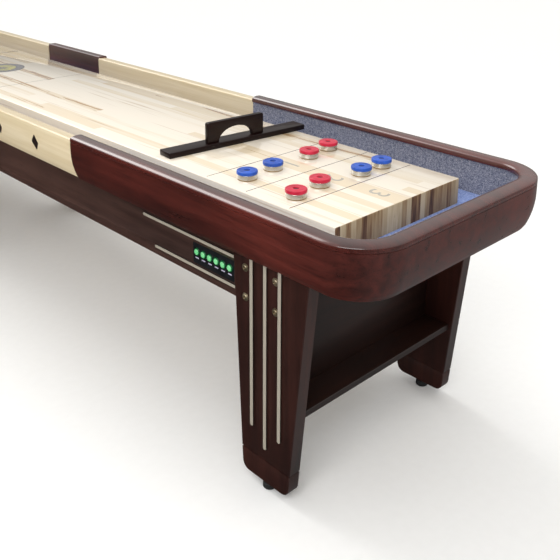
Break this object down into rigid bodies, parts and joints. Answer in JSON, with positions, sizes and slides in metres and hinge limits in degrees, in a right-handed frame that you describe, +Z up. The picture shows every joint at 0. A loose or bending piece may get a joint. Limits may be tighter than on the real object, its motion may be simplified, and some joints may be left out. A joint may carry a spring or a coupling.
{
  "type": "shuffleboard table",
  "caption": "Long free-standing shuffleboard table: butcher-block playfield in a carpeted gutter cabinet on plate legs, with pucks, sweep and a button panel.",
  "frame": {"origin": "on the floor under the middle of the table", "axes": "+Z up, +X along the table towards the end with the control panel, -Y side carries the control panel"},
  "size_m": [4.88, 0.79, 0.8298],
  "materials": {
    "butcher_block": "butcher-block maple under a high-gloss clear coat",
    "maple": "satin clear-lacquered maple",
    "espresso_wood": "espresso-stained wood, satin lacquer",
    "plywood": "unfinished birch plywood",
    "carpet": "blue-grey looped gutter carpet",
    "foot_rubber": "black moulded rubber",
    "panel_plastic": "black screened panel",
    "button_lens": "green translucent lens",
    "circuit_board": "green solder mask",
    "puck_red": "chromed steel weight under a red plastic cap",
    "puck_blue": "chromed steel weight under a blue plastic cap"
  },
  "bodies": {
    "table": {"apron_back_far": "espresso_wood", "apron_back_near": "espresso_wood", "apron_front_far": "espresso_wood", "apron_front_near": "espresso_wood", "centre_block_back": "espresso_wood", "centre_block_front": "espresso_wood", "control_board": "circuit_board", "control_plate": "panel_plastic", "cradle_beam_back": "plywood", "cradle_beam_front": "plywood", "cross_member_far": "plywood", "cross_member_middle": "plywood", "cross_member_near": "plywood", "gutter_carpet": "carpet", "gutter_deck": "plywood", "hood_far": "espresso_wood", "hood_near": "espresso_wood", "hood_rim_far": "espresso_wood", "hood_rim_near": "espresso_wood", "leg_far_back": "espresso_wood", "leg_far_front": "espresso_wood", "leg_middle_back": "espresso_wood", "leg_middle_front": "espresso_wood", "leg_near_back": "espresso_wood", "leg_near_front": "espresso_wood", "leg_panel_far": "espresso_wood", "leg_panel_near": "espresso_wood", "leg_shelf_far": "espresso_wood", "leg_shelf_near": "espresso_wood", "maple_rail_back_far": "maple", "maple_rail_back_near": "maple", "maple_rail_front_far": "maple", "maple_rail_front_near": "maple", "playfield": "butcher_block", "wall_carpet_far": "carpet", "wall_carpet_near": "carpet"},
    "button_1_cap": {"button_1": "button_lens"},
    "button_2_cap": {"button_2": "button_lens"},
    "button_3_cap": {"button_3": "button_lens"},
    "button_4_cap": {"button_4": "button_lens"},
    "button_5_cap": {"button_5": "button_lens"},
    "button_6_cap": {"button_6": "button_lens"},
    "leveller_far_back_foot": {"leveller_far_back": "foot_rubber"},
    "leveller_far_front_foot": {"leveller_far_front": "foot_rubber"},
    "leveller_middle_back_foot": {"leveller_middle_back": "foot_rubber"},
    "leveller_middle_front_foot": {"leveller_middle_front": "foot_rubber"},
    "leveller_near_back_foot": {"leveller_near_back": "foot_rubber"},
    "leveller_near_front_foot": {"leveller_near_front": "foot_rubber"},
    "puck_front_blue_1_weight": {"puck_front_blue_1": "puck_blue"},
    "puck_front_blue_2_weight": {"puck_front_blue_2": "puck_blue"},
    "puck_front_red_3_weight": {"puck_front_red_3": "puck_red"},
    "puck_front_red_4_weight": {"puck_front_red_4": "puck_red"},
    "puck_rear_blue_3_weight": {"puck_rear_blue_3": "puck_blue"},
    "puck_rear_blue_4_weight": {"puck_rear_blue_4": "puck_blue"},
    "puck_rear_red_1_weight": {"puck_rear_red_1": "puck_red"},
    "puck_rear_red_2_weight": {"puck_rear_red_2": "puck_red"},
    "sweep": {"sweep_bar": "espresso_wood", "sweep_handle": "espresso_wood"}
  },
  "joints": [
    {"name": "button_1_press", "type": "slide", "parent": "table", "child": "button_1_cap", "axis": [0, 1, 0], "range_m": [0, 0.002], "stiffness_N_per_m": 400},
    {"name": "button_2_press", "type": "slide", "parent": "table", "child": "button_2_cap", "axis": [0, 1, 0], "range_m": [0, 0.002], "stiffness_N_per_m": 400},
    {"name": "button_3_press", "type": "slide", "parent": "table", "child": "button_3_cap", "axis": [0, 1, 0], "range_m": [0, 0.002], "stiffness_N_per_m": 400},
    {"name": "button_4_press", "type": "slide", "parent": "table", "child": "button_4_cap", "axis": [0, 1, 0], "range_m": [0, 0.002], "stiffness_N_per_m": 400},
    {"name": "button_5_press", "type": "slide", "parent": "table", "child": "button_5_cap", "axis": [0, 1, 0], "range_m": [0, 0.002], "stiffness_N_per_m": 400},
    {"name": "button_6_press", "type": "slide", "parent": "table", "child": "button_6_cap", "axis": [0, 1, 0], "range_m": [0, 0.002], "stiffness_N_per_m": 400},
    {"name": "leveller_far_back_screw", "type": "slide", "parent": "table", "child": "leveller_far_back_foot", "axis": [0, 0, -1], "range_m": [0, 0.015]},
    {"name": "leveller_far_front_screw", "type": "slide", "parent": "table", "child": "leveller_far_front_foot", "axis": [0, 0, -1], "range_m": [0, 0.015]},
    {"name": "leveller_middle_back_screw", "type": "slide", "parent": "table", "child": "leveller_middle_back_foot", "axis": [0, 0, -1], "range_m": [0, 0.015]},
    {"name": "leveller_middle_front_screw", "type": "slide", "parent": "table", "child": "leveller_middle_front_foot", "axis": [0, 0, -1], "range_m": [0, 0.015]},
    {"name": "leveller_near_back_screw", "type": "slide", "parent": "table", "child": "leveller_near_back_foot", "axis": [0, 0, -1], "range_m": [0, 0.015]},
    {"name": "leveller_near_front_screw", "type": "slide", "parent": "table", "child": "leveller_near_front_foot", "axis": [0, 0, -1], "range_m": [0, 0.015]},
    {"name": "puck_front_blue_1_slide", "type": "slide", "parent": "table", "child": "puck_front_blue_1_weight", "axis": [1, 0, 0], "range_m": [0, 0.165]},
    {"name": "puck_front_blue_2_slide", "type": "slide", "parent": "table", "child": "puck_front_blue_2_weight", "axis": [1, 0, 0], "range_m": [0, 0.165]},
    {"name": "puck_front_red_3_slide", "type": "slide", "parent": "table", "child": "puck_front_red_3_weight", "axis": [1, 0, 0], "range_m": [0, 0.165]},
    {"name": "puck_front_red_4_slide", "type": "slide", "parent": "table", "child": "puck_front_red_4_weight", "axis": [1, 0, 0], "range_m": [0, 0.165]},
    {"name": "puck_rear_blue_3_slide", "type": "slide", "parent": "table", "child": "puck_rear_blue_3_weight", "axis": [1, 0, 0], "range_m": [-0.16, 0.1]},
    {"name": "puck_rear_blue_4_slide", "type": "slide", "parent": "table", "child": "puck_rear_blue_4_weight", "axis": [1, 0, 0], "range_m": [-0.16, 0.1]},
    {"name": "puck_rear_red_1_slide", "type": "slide", "parent": "table", "child": "puck_rear_red_1_weight", "axis": [1, 0, 0], "range_m": [-0.16, 0.1]},
    {"name": "puck_rear_red_2_slide", "type": "slide", "parent": "table", "child": "puck_rear_red_2_weight", "axis": [1, 0, 0], "range_m": [-0.16, 0.1]},
    {"name": "sweep_slide", "type": "slide", "parent": "table", "child": "sweep", "axis": [1, 0, 0], "range_m": [-3.65, 0]}
  ]
}
